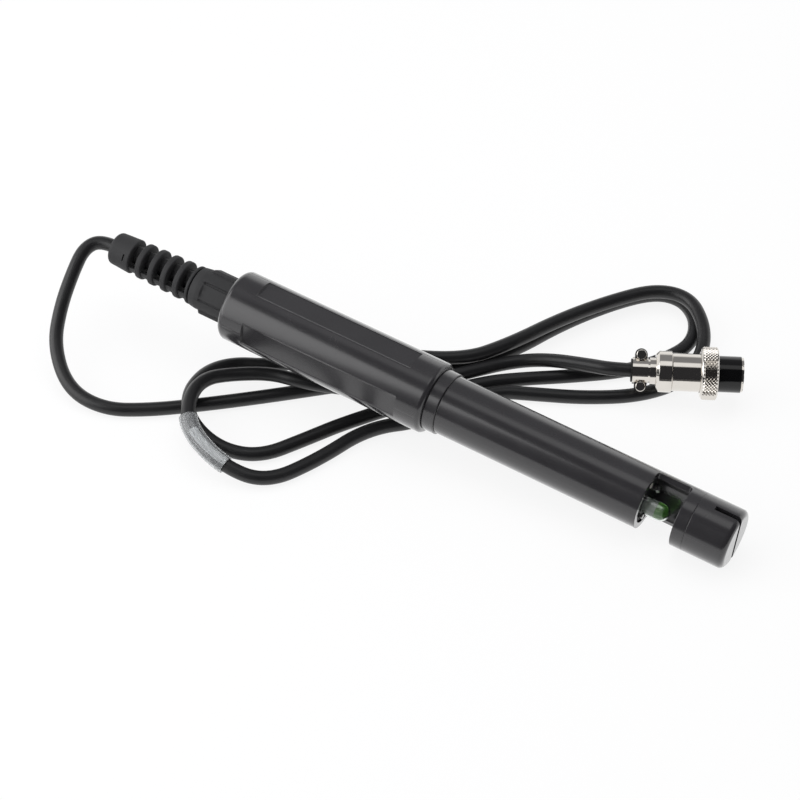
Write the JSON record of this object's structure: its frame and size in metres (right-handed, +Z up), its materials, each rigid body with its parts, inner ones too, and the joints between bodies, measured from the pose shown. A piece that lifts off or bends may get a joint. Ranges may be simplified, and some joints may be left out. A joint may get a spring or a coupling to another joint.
{
  "type": "ph electrode",
  "caption": "Hand-held pH probe: glass bulb behind an open tip window and slotted cap, ribbed strain relief, looped cable and a screw-ring connector.",
  "frame": {"origin": "on the floor under the middle of the probe with its strain relief, without the free cable and its connector", "axes": "+X along the probe towards its tip cap, +Z up from the floor; the probe is tilted, cap down, as it lies on its own cable"},
  "size_m": [0.26, 0.1646, 0.0396],
  "materials": {
    "housing_plastic": "satin",
    "core_plastic": "satin",
    "glass": "clear",
    "silver_wire": "bright",
    "pin_metal": "bright",
    "ceramic": "matte",
    "seal_rubber": "matte",
    "board": "satin",
    "component_plastic": "matte",
    "lead_insulation": "satin",
    "relief_rubber": "satin",
    "crimp_metal": "satin",
    "cable_jacket": "satin",
    "clear_tube": "clear",
    "label_paper": "matte",
    "bright_nickel": "polished",
    "bush_rubber": "matte",
    "insert_plastic": "satin",
    "contact_metal": "bright"
  },
  "bodies": {
    "probe": {"handle_housing": "housing_plastic", "front_collar": "housing_plastic", "barrel": "housing_plastic", "sensor_core": "core_plastic", "glass_electrode": "glass", "inner_electrode": "silver_wire", "ec_pins": "pin_metal", "temperature_sensor": "pin_metal", "reference_junction": "ceramic", "seal_ring": "seal_rubber", "circuit_board": "board", "board_components": "component_plastic", "sensor_leads": "lead_insulation", "cable_leads": "lead_insulation", "strain_relief": "relief_rubber", "cable_crimp": "crimp_metal", "cable_tail": "cable_jacket", "cable": "cable_jacket", "label_sleeve": "clear_tube", "paper_label": "label_paper", "clamp_base": "bright_nickel", "clamp_saddle": "bright_nickel", "clamp_screws": "bright_nickel", "clamp_bush": "bush_rubber", "tail_shell": "bright_nickel", "front_shell": "bright_nickel", "locking_screw": "bright_nickel", "contact_insert": "insert_plastic", "insert_rim": "bright_nickel", "contacts": "contact_metal"},
    "tip_cap": {"tip_cap": "housing_plastic"},
    "coupling_ring": {"coupling_ring": "bright_nickel"}
  },
  "joints": [
    {"name": "tip_cap_pull", "type": "slide", "parent": "probe", "child": "tip_cap", "axis": [0.9965, 0, -0.0837], "range_m": [0, 0.012]},
    {"name": "coupling_ring_turn", "type": "hinge", "parent": "probe", "child": "coupling_ring", "pos_m": [0.08191, 0.06592, 0.0128], "axis": [0.8934, 0.4493, 0], "continuous": true}
  ]
}
